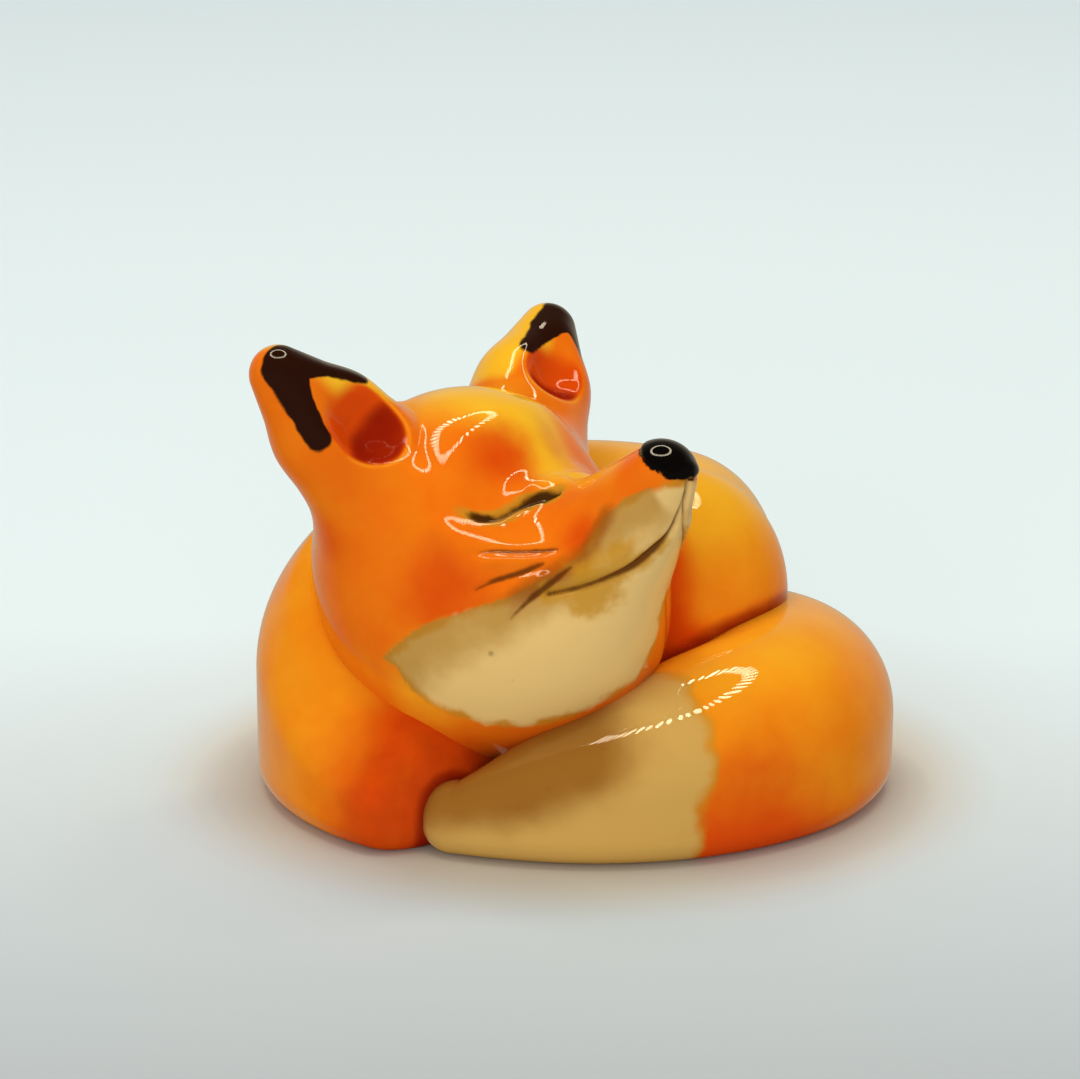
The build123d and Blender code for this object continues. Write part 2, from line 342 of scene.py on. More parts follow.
def specked(tree, below, label, colour):
    """Tiny iron specks in the pale paint: dots round a few of the centres of a cell pattern, kept to
    where the attribute is well above nought."""
    coordinates = tree.nodes.new("ShaderNodeTexCoord")
    cells = tree.nodes.new("ShaderNodeTexVoronoi")
    cells.inputs["Scale"].default_value = 620.0
    tree.links.new(coordinates.outputs["Object"], cells.inputs["Vector"])
    dot = ranged(tree, cells.outputs["Distance"], (0.14, 0.04), (0.0, 0.55))
    lot = tree.nodes.new("ShaderNodeSeparateColor")
    tree.links.new(cells.outputs["Color"], lot.inputs["Color"])
    few = above(tree, lot.outputs["Red"], 0.72)
    deep = above(tree, painted(tree, label), 0.4)
    return lay_colour(tree, below, multiplied(tree, dot, multiplied(tree, few, deep)), colour)


def show(tree, colour):
    """The finished paint, put under the glaze."""
    tree.links.new(colour, tree.nodes["Principled BSDF"].inputs["Base Color"])


# Rays fan out from a spine that runs back from the nose: share of the rows, spine place, ray angle
SPINE_SHARE = (0.0, 0.16, 0.34, 0.50, 0.75, 1.0)
SPINE_FORWARD = (14.9, 14.2, 8.5, 4.0, 1.5, 0.0)
SPINE_UP = (1.6, 1.4, -0.6, -0.8, -0.2, 0.3)
RAY_ANGLE = (0.0, 75.0, 70.0, 74.0, 125.0, 180.0)
row_share = np.linspace(0, 1, HEAD_ROWS)[:, None]
ray_angle = np.radians(np.interp(row_share, SPINE_SHARE, RAY_ANGLE))
around = np.linspace(0, 2 * np.pi, HEAD_COLUMNS, endpoint=False)[None, :]
rays = np.stack([np.cos(ray_angle) + 0 * around, np.sin(ray_angle) * np.cos(around),
                 np.sin(ray_angle) * np.sin(around)], -1)
spine = np.stack([np.interp(row_share, SPINE_SHARE, SPINE_FORWARD), 0 * row_share,
                  np.interp(row_share, SPINE_SHARE, SPINE_UP)], -1)
bare = out_to(head_field, spine, rays, 24.0)

# The ears are luted on here, on both sides: root, way to the tip and way the hollow faces, then the
# hollow and the two cones by their ends and end radii in the ear's own axes
EAR_ROOT = (-0.5, 6.2, 7.0)
EAR_WAY = (0.02, 0.63, 0.776)
EAR_FACES = {1: (0.92, -0.20, 0.15), -1: (0.92, -0.25, 0.15)}
HOLLOW_FOOT = {1: (4.5, 2.1), -1: (3.9, 2.4)}
HOLLOW_FOOT_OUT = 4.1
HOLLOW_TOP = (0, 4.95, 7.6)
HOLLOW_WIDENS = 0.35
RIM_ROUND = 0.9
EAR_LENGTH = 8.7
EAR_FLAT = np.array([1, 1.05, 1])
LOW_CONE = ((0, 0, -1.0), (0, 0, 4.0), 4.5, 3.55)
HIGH_CONE = ((0, 0, 4.0), (0, 0, EAR_LENGTH), 3.55, 1.75)
CONE_SEAM = 0.6
JOINT_WIDTH = 1.8
JOINT_HAIR = 0.012


def ear_root(side):
    """Middle of an ear's root on a side, in the head's axes."""
    return np.array(EAR_ROOT) * np.array([1, side, 1])


def ear_axes(side, face):
    """Across, facing and lengthwise unit directions of an ear on a side, in the head's axes."""
    mirror = np.array([1, side, 1])
    way = np.array(EAR_WAY) * mirror
    way = way / np.linalg.norm(way)
    face = np.array(face) - (np.array(face) @ way) * way
    face = face / np.linalg.norm(face)
    return np.stack([np.cross(way, face), face, way])


def hollow_field(points, side):
    """Distance to the pressed hollow: a round-ended rod that leans out towards the tip, so that the
    hollow is deepest low down and runs out flat below the tip."""
    foot, foot_radius = HOLLOW_FOOT[side]
    start = (0, HOLLOW_FOOT_OUT, foot)
    return taper(points, start, HOLLOW_TOP, foot_radius, foot_radius + HOLLOW_WIDENS)


def cone_field(points):
    """Distance to the ear before pressing: two cones end to end, a little flattened."""
    q = points * EAR_FLAT
    return melt(taper(q, *LOW_CONE), taper(q, *HIGH_CONE), CONE_SEAM)


def ear_joint(points, side):
    """Distance to the head with one ear on it, clay rounding the joint, and to that ear alone: the
    cone with the hollow pressed in, its rim rounded. The joint is tighter in front on the inner side."""
    q = (points - ear_root(side)) @ ear_axes(side, EAR_FACES[side]).T
    own = pare(cone_field(q), -hollow_field(q, side), RIM_ROUND)
    tight = fade(-side * q[..., 0], 1.2, -1.6) * fade(q[..., 1], 2.2, 0.2)
    width = JOINT_WIDTH * (1 - 0.85 * tight)
    return melt(own, head_field(points), width), own


# The head's own share of the joint: points climb to it in four steps and stay a hair under the ear
skin = slope_of(head_field, bare)
joint_rise = np.zeros(bare.shape[:2])
for side in (1, -1):
    for _ in range(4):
        apart, own = ear_joint(bare + skin * joint_rise[..., None], side)
        joint_rise += np.clip(-apart - JOINT_HAIR * fade(own, 0.6, 1.5), 0, 0.2)

# Drawn lines on the face, in the head's axes on one side: shut eye, mouth, whiskers
EYE_LINE = ((5.3, 6.6, 3.05), (6.16, 6.31, 2.68), (6.71, 5.98, 2.55), (7.47, 5.31, 2.55),
            (7.99, 4.42, 2.89), (8.53, 3.08, 3.33), (9.23, 2.22, 3.2))
MOUTH_LINE = ((17.15, 0.0, 1.0), (16.8, 0.06, 0.36), (16.29, 0.15, -0.27), (15.48, 0.57, -1.29),
              (14.46, 1.25, -2.0), (12.85, 2.26, -2.74), (11.22, 3.82, -2.97), (9.63, 5.51, -2.78))
WHISKERS = (
    ((6.07, 7.58, 0.57), (7.28, 6.81, 0.5), (8.64, 5.79, 0.18), (10.07, 4.58, -0.31)),
    ((6.38, 7.95, -1.41), (7.43, 7.24, -1.19), (8.6, 6.29, -1.1), (9.55, 5.34, -0.95)),
    ((7.63, 7.16, -3.56), (8.77, 6.32, -2.79), (9.74, 5.39, -2.24), (10.63, 4.45, -1.66)),
)
FACE_LEAN = (-0.274, -0.249, 0.834)
NOSE_LEAN = 0.79
NOSE_PLACE = 18.05
NOSE_SCALE = 1.274
folded = both_sides(bare)
eye_gap, _, eye_share = trace(folded, EYE_LINE, FACE_LEAN)
mouth_gap, mouth_lift, mouth_share = trace(folded, MOUTH_LINE, FACE_LEAN)
strokes = [trace(folded, route, FACE_LEAN) for route in WHISKERS]
whisker_gap = np.min([gap for gap, lift, share in strokes], axis=0)
forward, left, up = bare[..., 0], bare[..., 1], bare[..., 2]
nose_inside = (forward + NOSE_LEAN * up - NOSE_PLACE) / NOSE_SCALE

# Modelled relief beside the eye, by run and rise in the plane of the eye: the cheek stands out as a
# ledge under the eye, the inner lid swells, and a ridge lies under each of the upper whisker cuts
EYE_CORNER = np.array([5.3, 6.6, 3.05])
EYE_ALONG = np.array([0.668, -0.744, 0.025])
EYE_UP = np.array([-0.318, -0.255, 0.911])
EYE_OUT = np.array([0.674, 0.613, 0.407])
EYE_RUN = (-1.0, 0.0, 0.78, 1.39, 2.40, 3.41, 4.78, 5.89)
EYE_RISE = (0.6, 0.0, -0.54, -0.75, -0.82, -0.45, 0.13, 0.0)
LID_RISE = 0.45
LID_DENT = 0.07
WHISKER_RIDGE = 0.21
LEDGE_RUN = (-1.6, -0.3, 1.3, 2.8, 4.5, 6.0)
LEDGE_RISE = (-0.2, -0.95, -1.5, -2.05, -2.4, -2.5)
LEDGE_HIGH = (0.42, 0.44, 0.38, 0.31, 0.28, 0.26)
LEDGE_HALF = (0.9, 1.1, 1.4, 1.5, 1.5, 1.5)
WHISKER_RUN = ((-0.28, 1.10, 2.76, 4.60), (-0.39, 0.84, 2.33, 3.68))
WHISKER_RISE = ((-2.75, -3.00, -3.47, -4.06), (-4.75, -4.70, -4.75, -4.67))
run = (folded - EYE_CORNER) @ EYE_ALONG
rise = (folded - EYE_CORNER) @ EYE_UP
in_front = fade((folded - EYE_CORNER) @ EYE_OUT, -1.5, -4.0)
drop = rise - through(run, LEDGE_RUN, LEDGE_RISE)
half = np.interp(run, LEDGE_RUN, LEDGE_HALF)
ledge = np.interp(run, LEDGE_RUN, LEDGE_HIGH) * fade(run, -0.6, -2.4) * fade(run, 5.4, 7.6)
relief = ledge * fade(drop, -half, half) * fade(drop, -1.5, -5.5)
lid = rise - through(run, EYE_RUN, EYE_RISE)
relief += LID_RISE * np.exp(-((lid - 0.7) / 1.0) ** 2) * fade(run, 4.2, 2.6) * fade(run, 6.4, 7.8)
relief -= LID_DENT * np.exp(-((lid + 0.7) / 0.6) ** 2) * fade(run, 3.2, 1.8) * fade(run, 5.4, 7.0)
for along, height in zip(WHISKER_RUN, WHISKER_RISE):
    under = rise - through(run, along, height) + 0.62
    relief += WHISKER_RIDGE * np.exp(-(under / 0.35) ** 2) * fade(run, 1.2, -0.2) * fade(run, 3.2, 4.6)
relief *= in_front

# Cut lines at eye, mouth and whiskers, full lips, and the nose
CUT_WIDTH = 0.2
EYE_CUT = 0.22
MOUTH_CUT = 0.34
WHISKER_CUT = 0.10
LIP_RISE = 0.14
NOSE_RISE = 0.16
relief -= EYE_CUT * np.exp(-(eye_gap / CUT_WIDTH) ** 2) * fade(eye_share, 0.45, 0.1)
relief -= MOUTH_CUT * np.exp(-(mouth_gap / CUT_WIDTH) ** 2)
relief += LIP_RISE * np.exp(-((mouth_lift - 0.6) / 0.45) ** 2) * fade(mouth_gap, 0.8, 1.6)
relief -= WHISKER_CUT * np.exp(-(whisker_gap / CUT_WIDTH) ** 2)
relief += NOSE_RISE * fade(nose_inside, 0.25, -0.05)
head_points = from_head(bare + skin * (relief + joint_rise)[..., None])


def blob(points, middle, radius):
    """Sprayed patch on both sides of the head: a weight that falls off as a bell with distance."""
    apart = np.linalg.norm(both_sides(points) - np.array(middle), axis=-1)
    return np.exp(-(apart / radius) ** 2)


def head_spray_and_light(points):
    """Weights of the sprayed colours by place on the head, with painted light and painted shade: red at
    brows, cheeks and under the ears, and as painted shade in the crease beside the muzzle and deeper
    towards the bottom of the throat; yellow on the crown and along the bridge of the nose, partly
    sprayed and partly painted light, and as painted light on the back and low on the side of the head."""
    red_and_shade = 0.85 * blob(points, (6.6, 2.6, 6.0), 2.6) * fade(points[..., 1], 0.0, 3.5)
    red_and_shade += 0.75 * blob(points, (4.6, 8.8, -0.9), 3.6)
    red_and_shade += 0.8 * blob(points, (-1.8, 8.6, 4.2), 2.0) + 0.9 * blob(points, (11.4, 3.6, 0.0), 1.5)
    # Painted shade: redder towards the bottom of the throat
    red_and_shade += 0.4 * fade(points[..., 2], -10.0, -6.0)
    yellow_and_light = blob(points, (3.0, 0.0, 10.4), 4.6) + 0.9 * blob(points, (9.0, 0.0, 4.6), 2.4)
    yellow_and_light += 0.4 * blob(points, (-8.0, 5.0, 5.0), 5.0) + 0.8 * blob(points, (7.0, 0.0, 7.6), 2.6)
    yellow_and_light += 0.45 * blob(points, (0.0, 8.0, -6.0), 4.0) + 0.45 * blob(points, (12.6, 0.9, 3.4), 2.2)
    return np.clip(red_and_shade, 0, 1), np.clip(yellow_and_light, 0, 1)


CREAM_TOP_FORWARD = (-0.72, 0.97, 3.42, 5.85, 7.43, 9.57, 11.15, 12.04, 12.77, 14.27, 15.86, 17.1)
CREAM_TOP_UP = (-3.64, -3.11, -2.56, -2.53, -2.53, -2.0, -1.34, -0.32, 0.32, 0.94, 1.1, 1.07)
CREAM_BACK_LEFT = (-9.4, -9.18, -8.63, -8.11, -7.51, -6.54, -5.04, -3.44, -1.71, 0.0)
CREAM_BACK_FORWARD = (-0.7, 0.04, 0.21, 0.58, 1.31, 2.49, 4.01, 5.66, 7.4, 8.5)
CREAM_FAR_UP = (-9.2, -8.8, -7.9, -6.9, -4.4, -3.6, -2.6, -1.0)
CREAM_FAR_LEFT = (0.0, 0.55, 0.86, 1.43, 1.6, 2.2, 4.2, 6.0)
cream_top = np.interp(forward, CREAM_TOP_FORWARD, CREAM_TOP_UP) - up
cream_back = 0.7 * (forward - np.interp(left, CREAM_BACK_LEFT, CREAM_BACK_FORWARD))
cream_far = np.interp(up, CREAM_FAR_UP, CREAM_FAR_LEFT) - left
head_cream = np.minimum(np.minimum(cream_top, cream_back), cream_far)
eye_width = 0.04 + 0.30 * np.maximum(np.exp(-((eye_share - 0.25) / 0.22) ** 2),
                                     np.exp(-((eye_share - 0.86) / 0.12) ** 2))
mouth_width = 0.05 + 0.20 * np.exp(-((mouth_share - 0.63) / 0.12) ** 2) + 0.03 * fade(mouth_share, 0.8, 0.6)
WHISKER_WIDTHS = (0.09, 0.13, 0.14)
whisker_mark = np.max([width * fade(np.abs(share - 0.6), 0.2, 0.62) - gap
                       for width, (gap, lift, share) in zip(WHISKER_WIDTHS, strokes)], axis=0)
tinge = np.maximum(fade(mouth_gap, 0.1, 1.1) * fade(mouth_share, 0.55, 0.35), fade(eye_gap, 0.2, 0.9))
stain = 1.3 * blob(bare, (11.2, 4.0, -3.5), 1.8) + blob(bare, (12.9, 2.6, -1.9), 1.3)
tinge = np.maximum(tinge, stain)
edge_depth = 3.4 + 1.6 * fade(forward, 3.0, 8.5)
cream_edge = fade(cream_top, 0.3, edge_depth) * fade(forward, 15.6, 16.4)
border = fade(np.abs(cream_top), 0.1, 1.5) * fade(forward, 9.0, 6.0) * fade(forward, 12.4, 14.4)
head_red_and_shade, head_yellow_and_light = head_spray_and_light(bare)
ORANGE = ((230, 102, 12), (232, 118, 16))
# Yellow for the sprayed colour, also used as painted light where light falls
SPRAY_AND_LIGHT_YELLOW = (240, 180, 38)
# Sprayed red and deep red of pooled glaze, both also used as painted shade low down and in creases
SPRAY_AND_SHADE_RED = (214, 72, 8)
POOL_AND_SHADE_RED = (140, 26, 6)
CREAM = (224, 186, 116)
OCHRE = (190, 134, 34)
INK_BROWN = (52, 24, 6)
LINE_BROWN = (94, 44, 10)
BORDER_BROWN = (150, 76, 14)
EDGE_OLIVE = (172, 122, 44)
SPECK_BROWN = (120, 96, 48)
BLACK = (8, 6, 5)
head_glaze, tree, colour = glazed("head glaze", ORANGE)
# Yellow as sprayed colour and painted light, red as sprayed colour and painted shade
colour = brushed(tree, colour, "yellow_and_light", SPRAY_AND_LIGHT_YELLOW, (0.1, 0.9), 0.1, 300.0)
colour = brushed(tree, colour, "red_and_shade", SPRAY_AND_SHADE_RED, (0.15, 0.95), 0.12, 400.0)
colour = brushed(tree, colour, "cream", OCHRE, (-0.35, 0.15), 0.3, 600.0, 0.75)
colour = brushed(tree, colour, "cream", CREAM, (-0.15, 0.45), 0.35, 700.0)
colour = brushed(tree, colour, "edge", EDGE_OLIVE, (0.05, 1.0), 0.2, 500.0, 0.75)
colour = brushed(tree, colour, "border", BORDER_BROWN, (0.2, 1.0), 0.2, 700.0, 0.75)
colour = specked(tree, colour, "cream", SPECK_BROWN)
colour = brushed(tree, colour, "tinge", OCHRE, (0.2, 1.0), 0.35, 900.0, 0.85)
colour = brushed(tree, colour, "mouth", LINE_BROWN, (-0.13, 0.08), 0.04, 1400.0, 0.9)
colour = brushed(tree, colour, "eye", INK_BROWN, (-0.20, 0.12), 0.08, 1400.0, 0.95)
colour = brushed(tree, colour, "nose", BLACK, (-0.06, 0.06), 0.16, 1400.0)
show(tree, colour)
closed_piece("fox_head", head_points, "head", head_glaze, {
    "red_and_shade": head_red_and_shade, "yellow_and_light": head_yellow_and_light, "cream": head_cream, "nose": nose_inside, "tinge": tinge,
    "edge": np.where(head_cream > -0.2, cream_edge, 0), "border": border,
    "eye": eye_width - eye_gap, "mouth": np.maximum(mouth_width - mouth_gap, whisker_mark)})

# Ears
# Two pointed ears, each a thick cone with a hollow pressed into its front, luted to the skull and
# smoothed in. The hollow is red, deep red low down where glaze pools, with painted shade there too,
# and the front of the tip is black, with the black brushed down both rims of the hollow. Painted
# highlights in yellow lie along the rims of the hollow and on the inner side of the ear.
EAR_SKIRT = 3.2
EAR_ROWS = 230
EAR_CAP_ROWS = 46
EAR_COLUMNS = 200


def thinned(tree, attribute):
    """Clear glaze thinned where a painted attribute rises to 1, down to a twentieth."""
    thickness = ranged(tree, painted(tree, attribute), (0.0, 1.0), (1.0, 0.05))
    tree.links.new(thickness, tree.nodes["Principled BSDF"].inputs["Coat Weight"])


def ear_points(side):
    """Ear surface in its own and in the head's axes: rays square to a spine behind the hollow leave
    the joint of ear and head; away from the ear the joint is lowered a hair, so that the ear's skirt
    dives under the head."""
    axes = ear_axes(side, EAR_FACES[side])
    root = ear_root(side)

    def joined(q):
        apart, own = ear_joint(q @ axes + root, side)
        return apart + JOINT_HAIR * fade(own, 2.4, 1.5)

    turn = np.linspace(0, 2 * np.pi, EAR_COLUMNS, endpoint=False)[None, :]
    shaft = np.linspace(-EAR_SKIRT, EAR_LENGTH - 0.6, EAR_ROWS - EAR_CAP_ROWS)
    length = np.concatenate([shaft, np.full(EAR_CAP_ROWS, shaft[-1])])[:, None]
    tilt = np.linspace(0, np.pi / 2, EAR_CAP_ROWS + 1)[1:]
    tilt = np.concatenate([np.zeros(EAR_ROWS - EAR_CAP_ROWS), tilt])[:, None]
    starts = np.stack([0 * length, -0.75 + 0 * length, length], -1)
    rays = np.stack([np.cos(turn) * np.cos(tilt), np.sin(turn) * np.cos(tilt), np.sin(tilt) + 0 * turn], -1)
    own = out_to(joined, starts, rays, 16.0)
    own = np.concatenate([np.broadcast_to(starts[:1], own[:1].shape), own])
    return own, own @ axes + root


EAR_BLACK = (40, 16, 8)
# The black's back edge and the half-width of the notch in it, along the ear
BLACK_LENGTH = (4.6, 5.6, 6.5, 7.0, 7.6, 8.2, 10.0)
BLACK_BACK = (1.75, 1.45, 1.2, 1.1, 0.95, 0.85, 0.5)
BLACK_NOTCH = (2.3, 1.75, 1.25, 0.9, 0.3, -0.6, -1.5)
BLACK_END = 4.7
BLACK_FACES = {1: (0.92, 0.12, 0.15), -1: (0.92, -0.25, 0.15)}
ear_glaze, tree, colour = glazed("ear glaze", ORANGE)
colour = brushed(tree, colour, "yellow_and_light", SPRAY_AND_LIGHT_YELLOW, (0.1, 0.9), 0.1, 300.0)
colour = brushed(tree, colour, "red_and_shade", SPRAY_AND_SHADE_RED, (0.15, 0.95), 0.12, 400.0)
colour = brushed(tree, colour, "pool_and_shade", POOL_AND_SHADE_RED, (0.3, 1.1), 0.1, 500.0)
colour = brushed(tree, colour, "black", EAR_BLACK, (-0.1, 0.1), 0.14, 700.0)
thinned(tree, "pool_and_shade")
show(tree, colour)
for node, side in (("left_ear", 1), ("right_ear", -1)):
    own, local = ear_points(side)
    hollow = hollow_field(own, side)
    across, facing, length = own[..., 0], own[..., 1], own[..., 2]
    inside = fade(hollow, 0.1, 0.5)
    inner_side = fade(-side * across, 1.6, -0.6)
    red_and_shade, yellow_and_light = head_spray_and_light(local)
    red_and_shade = np.maximum(red_and_shade, inside * fade(length, 4.6, 7.0))
    # Painted highlights: yellow on the ear's inner side, clear of the head, and along the rims of the
    # hollow
    clear = fade(head_field(local), 2.4, 0.3)
    yellow_and_light = np.maximum(yellow_and_light, clear * inner_side * fade(facing, 2.2, 3.2))
    rim_highlight = fade(np.abs(hollow - 0.4), 0.0, 0.3) * fade(length, 3.0, 4.5) * fade(facing, 1.2, 0.6)
    yellow_and_light = np.maximum(yellow_and_light, 0.4 * rim_highlight)
    brushed_on = (local - ear_root(side)) @ ear_axes(side, BLACK_FACES[side]).T
    behind = brushed_on[..., 1] - np.interp(length, BLACK_LENGTH, BLACK_BACK)
    notch = np.abs(brushed_on[..., 0]) - np.interp(length, BLACK_LENGTH, BLACK_NOTCH)
    black = melt(melt(behind, notch, 0.7), length - BLACK_END, 0.7)
    # Deep red low in the hollow: glaze pooled there, and painted shade
    closed_piece("fox_" + node, from_head(local), node, ear_glaze, {
        "red_and_shade": red_and_shade, "yellow_and_light": yellow_and_light, "pool_and_shade": inside * fade(length, 2.8, 4.6), "black": black})

# Tail
# The brush laid round the rump and along the front, thickest at the side, its blunt tip under the chin.
# It is cast apart and luted to the rump with slip; the orange ends in a ragged edge at the cream tip,
# and the cream under the head is olive brown, partly glaze pooled there and partly a painted
# shadow of the head.
FOOT_RADIUS = 1.7
# Stations round the curl: angle, spine radius, half-width, height, height of the straight side
TAIL = (
    (62.0, 9.8, 4.2, 9.0, 4.0),
    (35.0, 12.6, 5.2, 10.0, 4.4),
    (8.0, 14.2, 6.2, 10.8, 4.6),
    (-22.0, 13.9, 6.4, 11.1, 4.6),
    (-52.0, 12.6, 6.0, 10.2, 4.4),
    (-80.0, 12.4, 4.7, 8.2, 3.8),
    (-100.0, 13.0, 3.4, 6.2, 2.8),
    (-113.0, 14.2, 2.1, 4.2, 2.0),
)
TAIL_ROWS = 260
TAIL_COLUMNS = 160
TAIL_TIP_BULGE = 2.1
TAIL_ROOT_BULGE = 4.2
TAIL_CREAM_ANGLE = -59.0
CREAM_LEAN = 4.0
END_ROWS = 40
# Shares of the way from crown to base where dome, side and toe end, and the share of each later part
DOME_END = 0.55
SIDE_END = 0.70
TOE_END = 0.85
PART = 0.15


def loaf_section(turn, half_width, height, side):
    """Across and up of a loaf outline at turn 0..1 from the crown: a quarter ellipse down to the
    straight side, the side, a quarter circle at the foot and the flat base, then back up the far side."""
    down = 1 - np.abs(1 - 2 * turn)
    way = np.where(turn < 0.5, 1.0, -1.0)
    foot = np.minimum(FOOT_RADIUS, 0.8 * np.minimum(side, half_width))
    dome = np.clip(down / DOME_END, 0, 1) * np.pi / 2
    wall = np.clip((down - DOME_END) / PART, 0, 1)
    toe = np.clip((down - SIDE_END) / PART, 0, 1) * np.pi / 2
    base = np.clip((down - TOE_END) / PART, 0, 1)
    across = (half_width * np.sin(dome) - foot * (1 - np.cos(toe))) * (1 - base)
    up = side + (height - side) * np.cos(dome) - (side - foot) * wall - foot * np.sin(toe)
    return way * across, np.maximum(up, 0)


def curled_loaf(stations, rows, columns, start_bulge, end_bulge):
    """Loaf sections standing in planes through the curl's axis, their sizes eased from station to
    station. Each end is half a turn of its section about its own upright, drawn out to its bulge."""
    table = np.array(sorted(stations))
    turn = np.linspace(0, 1, columns, endpoint=False)[None, :]
    angle = np.linspace(table[0, 0], table[-1, 0], rows)
    swing = np.linspace(0, np.pi / 2, END_ROWS)
    ends = [np.full(END_ROWS, angle[k]) for k in (0, -1)]
    angle = np.concatenate([ends[0], angle[1:-1], ends[1]])[:, None]
    swing = np.concatenate([-swing[::-1], np.zeros(rows - 2), swing])[:, None]
    radius, half_width, height, side = (through(angle, table[:, 0], table[:, k]) for k in (1, 2, 3, 4))
    bulge = np.where(swing < 0, start_bulge, end_bulge)
    across, up = loaf_section(turn, half_width, height, side)
    out = radius + across * np.cos(swing)
    along = np.abs(across) * np.sin(swing) * bulge / half_width
    a = np.radians(angle)
    x = CURL_AXIS[0] + out * np.cos(a) - along * np.sin(a)
    y = CURL_AXIS[1] + out * np.sin(a) + along * np.cos(a)
    return np.stack([x, y, up], -1)


def turned(points):
    """Angle in degrees round the curl and distance from its axis."""
    flat = points[..., :2] - CURL_AXIS
    return np.degrees(np.arctan2(flat[..., 1], flat[..., 0])), np.linalg.norm(flat, axis=-1)


def head_apart(points):
    """Distance to the bare head from points of the figurine."""
    return head_field(to_head(points))


tail_points = curled_loaf(TAIL, TAIL_ROWS, TAIL_COLUMNS, TAIL_TIP_BULGE, TAIL_ROOT_BULGE)
tail_angle, tail_reach = turned(tail_points)
tail_height = tail_points[..., 2]
cream_angle = TAIL_CREAM_ANGLE - CREAM_LEAN * fade(tail_height, 0.5, 7.0)
tail_cream = np.radians(cream_angle - tail_angle) * tail_reach
# Olive brown near the head: pooled glaze and the head's painted shadow
tail_shade = fade(head_apart(tail_points), 4.2, 6.8) * fade(tail_angle, -84.0, -64.0)
tail_red_and_shade = 0.6 * fade(tail_angle, -50.0, -25.0) * fade(tail_height, 5.0, 9.5)
# Painted shade: redder towards the foot
tail_red_and_shade += 0.5 * fade(tail_height, 0.0, 5.0)
PALE_ORANGE = ((234, 126, 16), (238, 144, 24))
TAIL_CREAM = (202, 158, 82)
# Heights at the foot that are wiped free of glaze, and where the wiping ends
WIPED_TO = 0.5
WIPED_FROM = 1.1
# Olive brown for the pooled glaze and the painted shadow under the head
OLIVE = (140, 86, 22)
tail_glaze, tree, colour = glazed("tail glaze", PALE_ORANGE)
# Yellow painted light on the top, red spray with painted shade at the foot
colour = brushed(tree, colour, "yellow_and_light", SPRAY_AND_LIGHT_YELLOW, (0.1, 1.1), 0.1, 300.0)
colour = brushed(tree, colour, "red_and_shade", SPRAY_AND_SHADE_RED, (0.15, 1.0), 0.12, 300.0)
colour = brushed(tree, colour, "cream", OCHRE, (-0.7, 0.1), 0.7, 350.0, 0.7)
colour = brushed(tree, colour, "cream", TAIL_CREAM, (-0.3, 0.7), 0.8, 350.0)
colour = specked(tree, colour, "cream", SPECK_BROWN)
colour = brushed(tree, colour, "shade", OLIVE, (0.0, 1.0), 0.15, 300.0, 0.9)
show(tree, colour)
thinned(tree, "wiped")
closed_piece("fox_tail", tail_points, "tail", tail_glaze, {
    "wiped": fade(tail_height, WIPED_TO, WIPED_FROM), "red_and_shade": tail_red_and_shade,
    "yellow_and_light": 0.55 * fade(tail_height, 11.0, 6.5), "cream": tail_cream, "shade": tail_shade})

# Body
# The trunk of a fox asleep in a curl, from the chest at the front left, past the back, to the rump.
# It is cast clay, loaf-shaped in section and ground flat on its foot, sprayed orange and dipped in
# clear glaze. It is redder at the chest and where it meets head and tail, partly sprayed and pooled
# and partly painted shade, and its top is painted lighter as painted light.
BODY = (
    (231.0, 12.0, 6.0, 6.9, 2.4),
    (212.0, 11.0, 7.0, 9.2, 4.2),
    (190.0, 9.7, 8.3, 14.2, 6.8),
    (155.0, 9.4, 8.6, 17.3, 8.0),
    (105.0, 9.4, 8.6, 18.3, 8.2),
    (58.0, 9.4, 8.6, 18.7, 9.0),
    (38.0, 8.9, 8.1, 18.9, 10.2),
    (20.0, 7.8, 7.0, 18.8, 11.0),
)
CHEST_BULGE = 3.2
NECK_WIDTH = 3.6
FOOT_CLEAR = 9.0
RUMP_BULGE = 7.0
BODY_ROWS = 300
BODY_COLUMNS = 180


def loaf_field(points, stations, start_bulge, end_bulge):
    """Rough distance to a curled loaf: in the plane through the curl's axis, the scaled radius of the
    section's ellipse less one, over the gradient of that radius; past an end, by the end's bulge."""
    table = np.array(sorted(stations))
    middle = (table[0, 0] + table[-1, 0]) / 2
    angle, reach = turned(points)
    angle = middle + (angle - middle + 180) % 360 - 180
    near = np.clip(angle, table[0, 0], table[-1, 0])
    radius, half_width, height, side = (through(near, table[:, 0], table[:, k]) for k in (1, 2, 3, 4))
    bulge = np.where(angle < near, start_bulge, end_bulge)
    sizes = np.stack([half_width, height - side, bulge], -1)
    over = np.maximum(points[..., 2] - side, 0)
    offsets = np.stack([reach - radius, over, np.radians(angle - near) * reach], -1)
    scaled = np.linalg.norm(offsets / sizes, axis=-1)
    slope = np.linalg.norm(offsets / sizes ** 2, axis=-1)
    return scaled * (scaled - 1) / np.maximum(slope, 1e-9)


def swollen(points, gap, width):
    """Points of a grid moved away from the middle of their row where another piece is near, as slip
    fills the joint: by a quarter of the width at the joint, falling with the square of the gap."""
    out = points - points.mean(axis=1, keepdims=True)
    out = out / np.linalg.norm(out, axis=-1, keepdims=True)
    return points + out * (width / 4 * np.clip(1 - gap / width, 0, 1) ** 2)[..., None]


